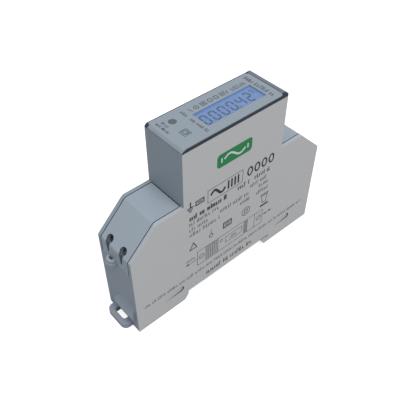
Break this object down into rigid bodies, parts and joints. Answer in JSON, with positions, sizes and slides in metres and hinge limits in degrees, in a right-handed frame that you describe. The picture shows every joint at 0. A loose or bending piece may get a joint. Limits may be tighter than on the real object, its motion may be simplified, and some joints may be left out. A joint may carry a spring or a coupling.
{
  "type": "smart electric meter",
  "caption": "Slim rail-mounted energy meter with a backlit display and key on a raised nose, sloped sealable terminal covers and a sliding rail clip.",
  "frame": {"origin": "middle of the rail seat: the face that lies on the 35 mm rail, midway along the 44.6 mm nose and across the module", "axes": "+X along the module away from the clip's pull tab, +Y across the module away from the printed side, +Z away from the rail towards the display"},
  "size_m": [0.0941, 0.0178, 0.0719],
  "materials": {
    "case_plastic": "moulded, fine satin texture",
    "cover_plastic": "moulded, fine satin texture",
    "plate_plastic": "smooth printed front",
    "dark_plastic": "smooth, dark blue-black",
    "clear_window": "clear polycarbonate pane",
    "lamp_red": "tinted clear lens",
    "red_plastic": "moulded",
    "display_blue": "backlit liquid crystal display",
    "backlight_white": "frosted light guide",
    "black_plastic": "moulded",
    "circuit_board": "solder resist on glass epoxy",
    "yellow_plastic": "moulded case",
    "capacitor_sleeve": "shrink sleeve",
    "varistor_blue": "epoxy dip",
    "green_plastic": "moulded",
    "spring_steel": "bright wire and sheet",
    "plated_steel": "zinc plated",
    "shunt_alloy": "resistance alloy, brushed",
    "copper": "tinned-edge copper strip",
    "brass": "turned"
  },
  "bodies": {
    "case": {"case_tray": "case_plastic", "case_lid": "case_plastic", "front_bezel": "dark_plastic", "front_plate": "plate_plastic", "display_window": "clear_window", "lamp_lens": "lamp_red", "tact_switch": "spring_steel", "display_glass": "display_blue", "backlight": "backlight_white", "contact_strip": "black_plastic", "display_board": "circuit_board", "pulse_lamp": "lamp_red", "main_board": "circuit_board", "board_header": "black_plastic", "metering_chip": "black_plastic", "processor_chip": "black_plastic", "clock_crystal": "spring_steel", "mains_capacitor": "yellow_plastic", "smoothing_capacitor": "capacitor_sleeve", "varistor": "varistor_blue", "pulse_coupler": "black_plastic", "current_shunt": "shunt_alloy", "line_in_bar": "copper", "line_out_bar": "copper", "neutral_bar": "copper", "terminal_block_in": "black_plastic", "terminal_block_out": "black_plastic", "bus_terminal": "green_plastic", "bus_pillars": "brass", "pulse_terminal": "green_plastic", "pulse_pillars": "brass", "clip_spring": "spring_steel"},
    "key": {"scroll_key": "plate_plastic", "switch_plunger": "red_plastic"},
    "rail_clip": {"rail_clip": "cover_plastic"},
    "cover_in": {"terminal_cover_in": "cover_plastic"},
    "cover_out": {"terminal_cover_out": "cover_plastic"},
    "line_in_cage": {"line_in_cage": "plated_steel"},
    "line_in_screw": {"line_in_screw": "plated_steel"},
    "neutral_in_cage": {"neutral_in_cage": "plated_steel"},
    "neutral_in_screw": {"neutral_in_screw": "plated_steel"},
    "line_out_cage": {"line_out_cage": "plated_steel"},
    "line_out_screw": {"line_out_screw": "plated_steel"},
    "neutral_out_cage": {"neutral_out_cage": "plated_steel"},
    "neutral_out_screw": {"neutral_out_screw": "plated_steel"},
    "bus_screw_a": {"bus_screw_a": "plated_steel"},
    "bus_screw_b": {"bus_screw_b": "plated_steel"},
    "pulse_screw_a": {"pulse_screw_a": "plated_steel"},
    "pulse_screw_b": {"pulse_screw_b": "plated_steel"}
  },
  "joints": [
    {"name": "key_press", "type": "slide", "parent": "case", "child": "key", "axis": [0, 0, -1], "range_m": [0, 0.0004], "stiffness_N_per_m": 2500, "springref_m": -0.0002},
    {"name": "clip_slide", "type": "slide", "parent": "case", "child": "rail_clip", "axis": [-1, 0, 0], "range_m": [0, 0.005], "stiffness_N_per_m": 1200, "springref_m": -0.003, "deforming": ["clip_spring"]},
    {"name": "cover_in_slide", "type": "slide", "parent": "case", "child": "cover_in", "axis": [-1, 0, 0], "range_m": [0, 0.014]},
    {"name": "cover_out_slide", "type": "slide", "parent": "case", "child": "cover_out", "axis": [1, 0, 0], "range_m": [0, 0.014]},
    {"name": "line_in_screw_turn", "type": "hinge", "parent": "case", "child": "line_in_screw", "pos_m": [-0.032, -0.00365, 0.035], "axis": [0, 0, -1], "range_deg": [0, 2572]},
    {"name": "line_in_cage_lift", "type": "slide", "parent": "case", "child": "line_in_cage", "axis": [0, 0, 1], "range_m": [0, 0.005]},
    {"name": "neutral_in_screw_turn", "type": "hinge", "parent": "case", "child": "neutral_in_screw", "pos_m": [-0.032, 0.00365, 0.035], "axis": [0, 0, -1], "range_deg": [0, 2572]},
    {"name": "neutral_in_cage_lift", "type": "slide", "parent": "case", "child": "neutral_in_cage", "axis": [0, 0, 1], "range_m": [0, 0.005]},
    {"name": "line_out_screw_turn", "type": "hinge", "parent": "case", "child": "line_out_screw", "pos_m": [0.032, -0.00365, 0.035], "axis": [0, 0, -1], "range_deg": [0, 2572]},
    {"name": "line_out_cage_lift", "type": "slide", "parent": "case", "child": "line_out_cage", "axis": [0, 0, 1], "range_m": [0, 0.005]},
    {"name": "neutral_out_screw_turn", "type": "hinge", "parent": "case", "child": "neutral_out_screw", "pos_m": [0.032, 0.00365, 0.035], "axis": [0, 0, -1], "range_deg": [0, 2572]},
    {"name": "neutral_out_cage_lift", "type": "slide", "parent": "case", "child": "neutral_out_cage", "axis": [0, 0, 1], "range_m": [0, 0.005]},
    {"name": "bus_screw_a_turn", "type": "hinge", "parent": "case", "child": "bus_screw_a", "pos_m": [-0.04064, -0.0036, 0.03319], "axis": [0.7006, 0, -0.7136], "range_deg": [0, 720]},
    {"name": "bus_screw_b_turn", "type": "hinge", "parent": "case", "child": "bus_screw_b", "pos_m": [-0.04064, 0.0036, 0.03319], "axis": [0.7006, 0, -0.7136], "range_deg": [0, 720]},
    {"name": "pulse_screw_a_turn", "type": "hinge", "parent": "case", "child": "pulse_screw_a", "pos_m": [0.04064, -0.0036, 0.03319], "axis": [-0.7006, 0, -0.7136], "range_deg": [0, 720]},
    {"name": "pulse_screw_b_turn", "type": "hinge", "parent": "case", "child": "pulse_screw_b", "pos_m": [0.04064, 0.0036, 0.03319], "axis": [-0.7006, 0, -0.7136], "range_deg": [0, 720]}
  ],
  "couplings": [
    {"joint": "line_in_screw_turn", "follows": "line_in_cage_lift", "rad_per_m": 8976},
    {"joint": "neutral_in_screw_turn", "follows": "neutral_in_cage_lift", "rad_per_m": 8976},
    {"joint": "line_out_screw_turn", "follows": "line_out_cage_lift", "rad_per_m": 8976},
    {"joint": "neutral_out_screw_turn", "follows": "neutral_out_cage_lift", "rad_per_m": 8976}
  ]
}
